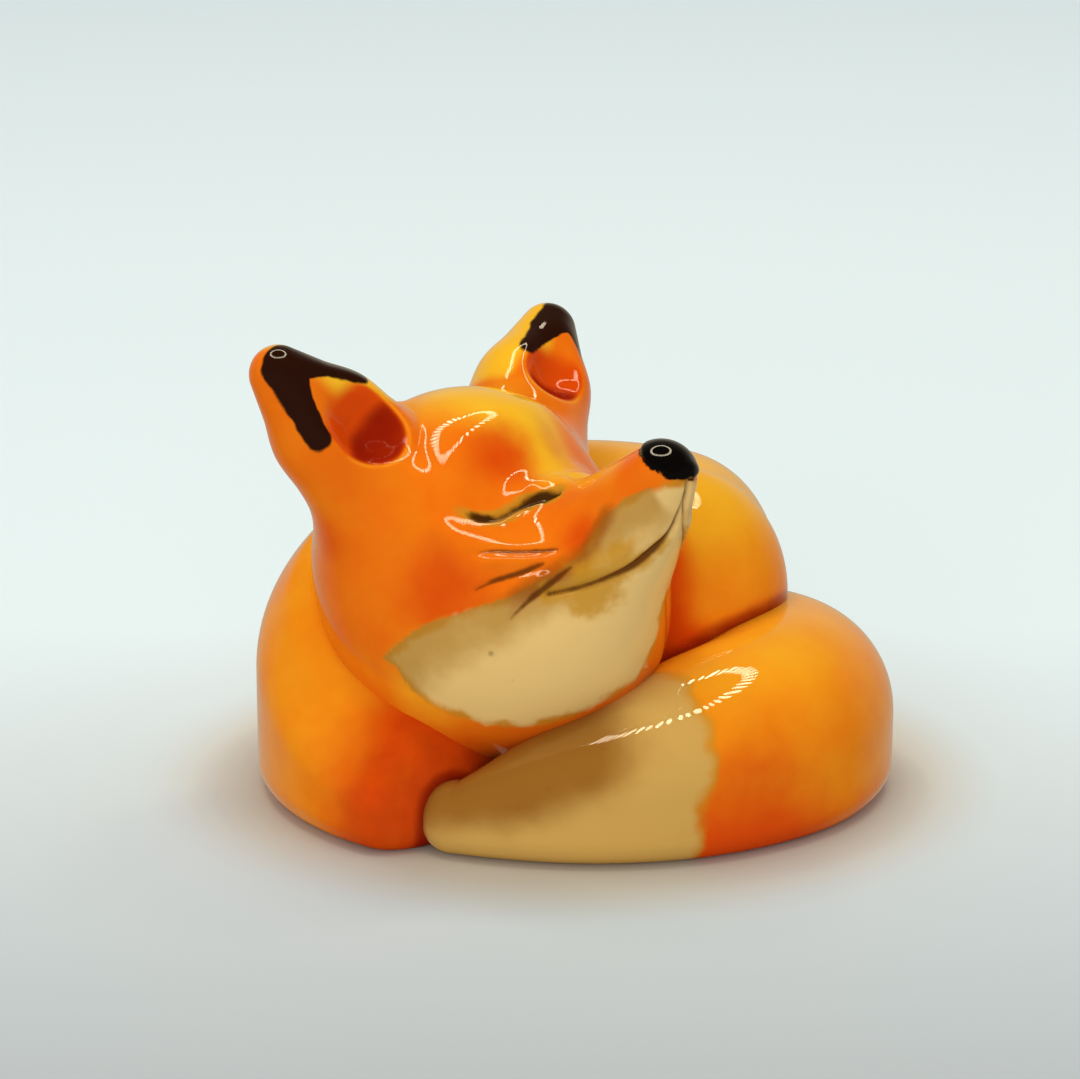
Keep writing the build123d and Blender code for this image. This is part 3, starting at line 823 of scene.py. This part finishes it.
body_points = curled_loaf(BODY, BODY_ROWS, BODY_COLUMNS, RUMP_BULGE, CHEST_BULGE)
head_seam = head_apart(body_points)
neck_gap = head_seam + FOOT_CLEAR * fade(body_points[..., 2], 1.0, 3.0)
body_points = swollen(body_points, neck_gap, NECK_WIDTH)
body_angle = (turned(body_points)[0] + 90) % 360 - 90
body_height = body_points[..., 2]
tail_seam = loaf_field(body_points, TAIL, TAIL_TIP_BULGE, TAIL_ROOT_BULGE)
# Red over the chest, close to the head and at the tail joint: sprayed and pooled red with painted shade
chest = fade(body_angle, 236.0, 204.0)
pocket = fade(head_seam, 0.3, 3.5) * fade(body_angle, 60.0, 120.0)
body_red_and_shade = 0.9 * chest + pocket + 0.6 * fade(tail_seam, 0.0, 2.0)
body_glaze, tree, colour = glazed("body glaze", PALE_ORANGE)
colour = brushed(tree, colour, "yellow_and_light", SPRAY_AND_LIGHT_YELLOW, (0.1, 1.1), 0.1, 300.0)
colour = brushed(tree, colour, "red_and_shade", SPRAY_AND_SHADE_RED, (0.15, 1.0), 0.12, 300.0)
colour = brushed(tree, colour, "pool_and_shade", POOL_AND_SHADE_RED, (0.3, 1.1), 0.1, 500.0)
show(tree, colour)
thinned(tree, "thin")
# Yellow painted light on the top; deep red at the tail joint and on the chest, pooled glaze with painted
# shade
closed_piece("fox_body", body_points, "body", body_glaze, {
    "thin": np.maximum(fade(body_height, WIPED_TO, WIPED_FROM), fade(head_seam, 1.2, 2.6)),
    "red_and_shade": np.clip(body_red_and_shade, 0, 1), "yellow_and_light": 0.8 * fade(body_height, 18.5, 11.0),
    "pool_and_shade": np.maximum(fade(tail_seam, 0.0, 1.6), 0.55 * chest)})

# Floor
# A pale smooth sheet that the figurine stands on, painted darker towards the front as painted
# shade, and warmer round its foot, a painted bounce light in the colour of the glaze.
FLOOR_HALF = 1.5
SHADED_FLOOR_FRONT = (0.43, 0.47, 0.51, 1.0)
FLOOR_BACK = (0.74, 0.86, 0.94, 1.0)
SHADE_SWEEP = (-0.055, 0.030)
# Painted bounce light round the foot: where it ends, where it is full, and its tint
BOUNCE_LIGHT_FROM = 0.027
BOUNCE_LIGHT_TO = 0.018
BOUNCE_LIGHT_TINT = (0.91, 0.745, 0.59, 1.0)
floor_mesh = bpy.data.meshes.new("floor")
floor_mesh.from_pydata([(-FLOOR_HALF, -FLOOR_HALF, 0), (FLOOR_HALF, -FLOOR_HALF, 0),
                        (FLOOR_HALF, FLOOR_HALF, 0), (-FLOOR_HALF, FLOOR_HALF, 0)], [], [(0, 1, 2, 3)])
floor = bpy.data.objects.new("floor", floor_mesh)
bpy.context.scene.collection.objects.link(floor)
floor_sheet = bpy.data.materials.new("floor sheet")
floor_sheet.use_nodes = True
sheet_tree = floor_sheet.node_tree
floor_shader = sheet_tree.nodes["Principled BSDF"]
floor_shader.inputs["Roughness"].default_value = 0.6
floor_shader.inputs["Specular IOR Level"].default_value = 0.2
place = sheet_tree.nodes.new("ShaderNodeTexCoord")
depth = sheet_tree.nodes.new("ShaderNodeSeparateXYZ")
sheet_tree.links.new(place.outputs["Object"], depth.inputs["Vector"])
# Painted shade: the sheet darker towards the front
shade = sheet_tree.nodes.new("ShaderNodeValToRGB")
shade.color_ramp.elements[0].color = SHADED_FLOOR_FRONT
shade.color_ramp.elements[1].color = FLOOR_BACK
sheet_tree.links.new(ranged(sheet_tree, depth.outputs["Y"], SHADE_SWEEP, (0.0, 1.0)), shade.inputs["Fac"])
# Painted warm bounce light round the foot, in the colour of the glaze
reach = sheet_tree.nodes.new("ShaderNodeVectorMath")
reach.operation = "LENGTH"
sheet_tree.links.new(place.outputs["Object"], reach.inputs[0])
painted_bounce = ranged(sheet_tree, reach.outputs["Value"], (BOUNCE_LIGHT_TO, BOUNCE_LIGHT_FROM), (1.0, 0.0), "SMOOTHSTEP")
plain, tint, tinted = colour_mix(sheet_tree, painted_bounce, "MULTIPLY")
tint.default_value = BOUNCE_LIGHT_TINT
sheet_tree.links.new(shade.outputs["Color"], plain)
sheet_tree.links.new(tinted, floor_shader.inputs["Base Color"])
floor.data.materials.append(floor_sheet)
floor.visible_glossy = False

# Light
# A white tent, which the glaze mirrors dim in front and overhead and brighter behind, and over it all a
# ring of small lamps that the glaze mirrors as dotted loops.
TENT_LEVEL = 0.68
TENT_WHITE = (0.97, 1.0, 0.99, 1.0)
MIRRORED_FRONT = 0.05
MIRRORED_BACK = 0.50
MIRRORED_WARM = (1.0, 0.90, 0.70, 1.0)
ROOF_SHARE = 0.3
SEEN_PALE = (0.82, 0.91, 0.88, 1.0)
LAMP_WIDTH = 0.012
LAMP_LENGTH = 0.042
LAMP_POWER = 0.021
LAMP_COLOUR = (1.0, 0.87, 0.62)
LAMPS = 46
RING_RADIUS = 0.155
RING_HEIGHT = 0.42
RING_BACK = 0.085
world = bpy.data.worlds.new("white tent")
bpy.context.scene.world = world
world.use_nodes = True
tent = world.node_tree
direction = tent.nodes.new("ShaderNodeTexCoord")
split = tent.nodes.new("ShaderNodeSeparateXYZ")
tent.links.new(direction.outputs["Generated"], split.inputs["Vector"])
ray = tent.nodes.new("ShaderNodeLightPath")
walls = ranged(tent, split.outputs["Y"], (0.30, 0.90), (MIRRORED_FRONT, MIRRORED_BACK))
roof = ranged(tent, split.outputs["Z"], (0.25, 0.60), (1.0, ROOF_SHARE))
level = tent.nodes.new("ShaderNodeMix")
level.inputs["A"].default_value = TENT_LEVEL
tent.links.new(ray.outputs["Is Glossy Ray"], level.inputs["Factor"])
tent.links.new(multiplied(tent, walls, roof), level.inputs["B"])
glow = tent.nodes["Background"]
lit, mirrored, tent_colour = colour_mix(tent, ray.outputs["Is Glossy Ray"])
lit.default_value = TENT_WHITE
mirrored.default_value = MIRRORED_WARM
tent.links.new(tent_colour, glow.inputs["Color"])
tent.links.new(level.outputs["Result"], glow.inputs["Strength"])
seen = tent.nodes.new("ShaderNodeBackground")
seen.inputs["Color"].default_value = SEEN_PALE
pick = tent.nodes.new("ShaderNodeMixShader")
tent.links.new(ray.outputs["Is Camera Ray"], pick.inputs["Fac"])
tent.links.new(glow.outputs["Background"], pick.inputs[1])
tent.links.new(seen.outputs["Background"], pick.inputs[2])
tent.links.new(pick.outputs["Shader"], tent.nodes["World Output"].inputs["Surface"])
for k in range(LAMPS):
    turn = 2 * np.pi * k / LAMPS
    bulb = bpy.data.lights.new("ring lamp", "AREA")
    bulb.shape = "ELLIPSE"
    bulb.size = LAMP_WIDTH
    bulb.size_y = LAMP_LENGTH
    bulb.energy = LAMP_POWER
    bulb.color = LAMP_COLOUR
    lamp = bpy.data.objects.new("ring lamp", bulb)
    lamp.location = (RING_RADIUS * np.cos(turn), RING_BACK + RING_RADIUS * np.sin(turn), RING_HEIGHT)
    lamp.rotation_euler = (0.0, 0.0, turn + np.pi / 2)
    bpy.context.scene.collection.objects.link(lamp)

# A large soft lamp low in front lifts the shade under the chin
CARD_SIZE = 0.30
CARD_POWER = 1.0
CARD_PLACE = Vector((-0.08, -0.36, 0.035))
card = bpy.data.lights.new("front lamp", "AREA")
card.size = CARD_SIZE
card.energy = CARD_POWER
front_lamp = bpy.data.objects.new("front lamp", card)
front_lamp.location = CARD_PLACE
front_lamp.rotation_euler = (-CARD_PLACE).to_track_quat("-Z", "Y").to_euler()
front_lamp.visible_glossy = False
bpy.context.scene.collection.objects.link(front_lamp)

# Camera
# Low in front and a little above, with a long lens, as the figurine was photographed.
TARGET = Vector((-0.00213, -0.00163, 0.0153))
CAMERA_LIFT = np.radians(16.0)
CAMERA_DISTANCE = 0.25
PIXEL = 0.00006
PHOTO_WIDTH = 1080
SENSOR_WIDTH = 36
camera_data = bpy.data.cameras.new("camera")
camera_data.lens = SENSOR_WIDTH * CAMERA_DISTANCE / (PHOTO_WIDTH * PIXEL)
camera_data.clip_start = 0.005
camera = bpy.data.objects.new("camera", camera_data)
back = Vector((0, -np.cos(CAMERA_LIFT), np.sin(CAMERA_LIFT)))
camera.location = TARGET + back * CAMERA_DISTANCE
camera.rotation_euler = (-back).to_track_quat("-Z", "Y").to_euler()
bpy.context.scene.collection.objects.link(camera)
bpy.context.scene.camera = camera
bpy.context.scene.view_settings.view_transform = "Standard"
